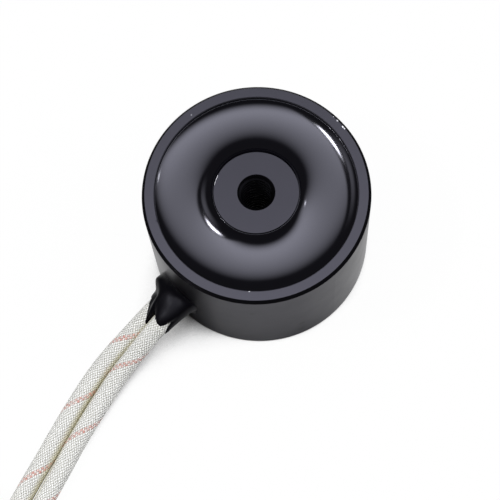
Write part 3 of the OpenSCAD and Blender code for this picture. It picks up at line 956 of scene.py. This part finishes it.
def soft_lamp(name, wide, deep, watts, tint, fades):
    """A flat lamp that fades towards its edges.

    Its strength is the product of a smooth step in from each edge: left, right, front and back,
    each over a share of the lamp's size."""
    data = bpy.data.lights.new(name, "AREA")
    data.shape, data.size, data.size_y, data.energy, data.color = "RECTANGLE", wide, deep, watts, tint
    data.use_nodes = True
    tree = data.node_tree
    spot = put(tree, "ShaderNodeNewGeometry").outputs["Parametric"]
    on_lamp = put(tree, "ShaderNodeSeparateXYZ", {0: spot})
    left, right, front, back = fades
    strength = 1.0
    for side, start, end in ((0, 0.0, left), (0, 1.0, 1 - right), (1, 0.0, front), (1, 1.0, 1 - back)):
        fade = put(
            tree, "ShaderNodeMapRange", enumerate([on_lamp.outputs[side], start, end, 0.0, 1.0]),
            interpolation_type="SMOOTHSTEP"
        ).outputs[0]
        strength = calc(tree, "MULTIPLY", fade, strength)
    tree.links.new(strength, tree.nodes["Emission"].inputs["Strength"])
    return bpy.data.objects.new(name, data)


def pale_floor(studio):
    """Pale floor that is dark only in tight corners.

    To the camera it is nearly white where it lies open or far from the part. To gloss it is white
    on the sides that FLOOR_GLEAMS names, dimmer at the part's foot, and dark beyond FLOOR_DARK."""
    material, tree, shader = new_finish("pale_floor", Roughness=0.9, Specular_IOR_Level=0.0)
    place = object_place(tree)
    path = put(tree, "ShaderNodeLightPath")
    open_to = put(tree, "ShaderNodeAmbientOcclusion", {"Distance": 0.016}, samples=16).outputs["AO"]
    # Painted shade: the floor's colour darkens towards black where the occlusion finds tight corners.
    deep = scaled(tree, open_to, 0.26, 0.52, 0.12, 1.0)
    away = put(tree, "ShaderNodeVectorMath", {0: place}, operation="LENGTH").outputs["Value"]
    glossy = path.outputs["Is Glossy Ray"]
    bright = 0.0
    for turned, start, end in FLOOR_GLEAMS:
        a = np.radians(PICTURE_TURN + turned)
        along = put(
            tree, "ShaderNodeVectorMath", {0: place, 1: (np.cos(a), np.sin(a), 0)}, operation="DOT_PRODUCT"
        ).outputs["Value"]
        gleam = scaled(tree, calc(tree, "DIVIDE", along, away), start, end, 0, 1.0)
        bright = calc(tree, "MAXIMUM", bright, calc(tree, "MULTIPLY", glossy, gleam))
    # Painted shade seen in gloss: near the part's foot the floor's colour is dimmed for glossy rays.
    dim = put(tree, "ShaderNodeMix", {
        0: glossy, 2: 1.0, 3: scaled(tree, open_to, 0.45, 1.0, 0.5, 1.0)
    }).outputs[0]
    deep = calc(tree, "MULTIPLY", deep, dim)
    pale = blend(tree, noise(tree, place, 40, 3), rgba(studio.floor, 0.99), rgba(studio.floor, 1.0))
    tree.links.new(blend(tree, deep, BLACK, pale), shader.inputs["Base Color"])
    seen = calc(tree, "MAXIMUM", path.outputs["Is Camera Ray"], path.outputs["Is Transmission Ray"])
    white = put(tree, "ShaderNodeEmission", {"Color": WHITE, "Strength": 1.0})
    lit = calc(
        tree, "MAXIMUM", scaled(tree, open_to, 0.4, 0.54, 0.0, WHITE_SHARE),
        scaled(tree, away, *FLOOR_WHITE, 0, WHITE_SHARE)
    )
    shown = calc(tree, "MAXIMUM", calc(tree, "MULTIPLY", seen, lit), bright)
    near = put(tree, "ShaderNodeMixShader", {0: shown, 1: shader.outputs[0], 2: white.outputs[0]})
    dark = put(tree, "ShaderNodeEmission", {"Color": WHITE, "Strength": 0.05})
    far = calc(tree, "MULTIPLY", glossy, scaled(tree, away, *FLOOR_DARK, 0, 1))
    mixed = put(tree, "ShaderNodeMixShader", {0: far, 1: near.outputs[0], 2: dark.outputs[0]})
    tree.links.new(mixed.outputs[0], tree.nodes["Material Output"].inputs["Surface"])
    return material


class MAGNET_PT_panel(bpy.types.Panel):
    """The magnet's pieces and settings."""
    bl_idname = "MAGNET_PT_panel"
    bl_label = "Holding electromagnet"
    bl_space_type = "VIEW_3D"
    bl_region_type = "UI"
    bl_category = "Electromagnet"

    def draw(self, context):
        for operator in OPERATORS:
            self.layout.operator(operator.bl_idname)
        for name, _ in SETTINGS:
            group = getattr(context.scene, name)
            box = self.layout.box()
            for key in group.bl_rna.properties.keys():
                if key not in {"rna_type", "name"}:
                    box.prop(group, key)


OPERATORS = (
    MAGNET_OT_camera, MAGNET_OT_leads, MAGNET_OT_lead_ends, MAGNET_OT_lead_seal, MAGNET_OT_coil_tie,
    MAGNET_OT_cords, MAGNET_OT_resin, MAGNET_OT_thread, MAGNET_OT_finishes, MAGNET_OT_studio,
)
SETTINGS = (
    ("magnet_pot", PotSettings), ("magnet_resin", ResinSettings), ("magnet_lead", LeadSettings),
    ("magnet_seal", SealSettings), ("magnet_studio", StudioSettings),
)


def register():
    """Registers the settings, the operators and the panel."""
    for name, group in SETTINGS:
        bpy.utils.register_class(group)
        setattr(bpy.types.Scene, name, bpy.props.PointerProperty(type=group))
    for operator in OPERATORS:
        bpy.utils.register_class(operator)
    bpy.utils.register_class(MAGNET_PT_panel)


def unregister():
    """Takes back what register did."""
    bpy.utils.unregister_class(MAGNET_PT_panel)
    for operator in reversed(OPERATORS):
        bpy.utils.unregister_class(operator)
    for name, group in reversed(SETTINGS):
        delattr(bpy.types.Scene, name)
        bpy.utils.unregister_class(group)


def main():
    register()
    bpy.ops.magnet.camera()
    bpy.ops.magnet.leads()
    bpy.ops.magnet.lead_ends()
    bpy.ops.magnet.lead_seal()
    bpy.ops.magnet.coil_tie()
    bpy.ops.magnet.cords()
    bpy.ops.magnet.resin()
    bpy.ops.magnet.thread()
    bpy.ops.magnet.finishes()
    bpy.ops.magnet.studio()


if __name__ == "__main__":
    main()
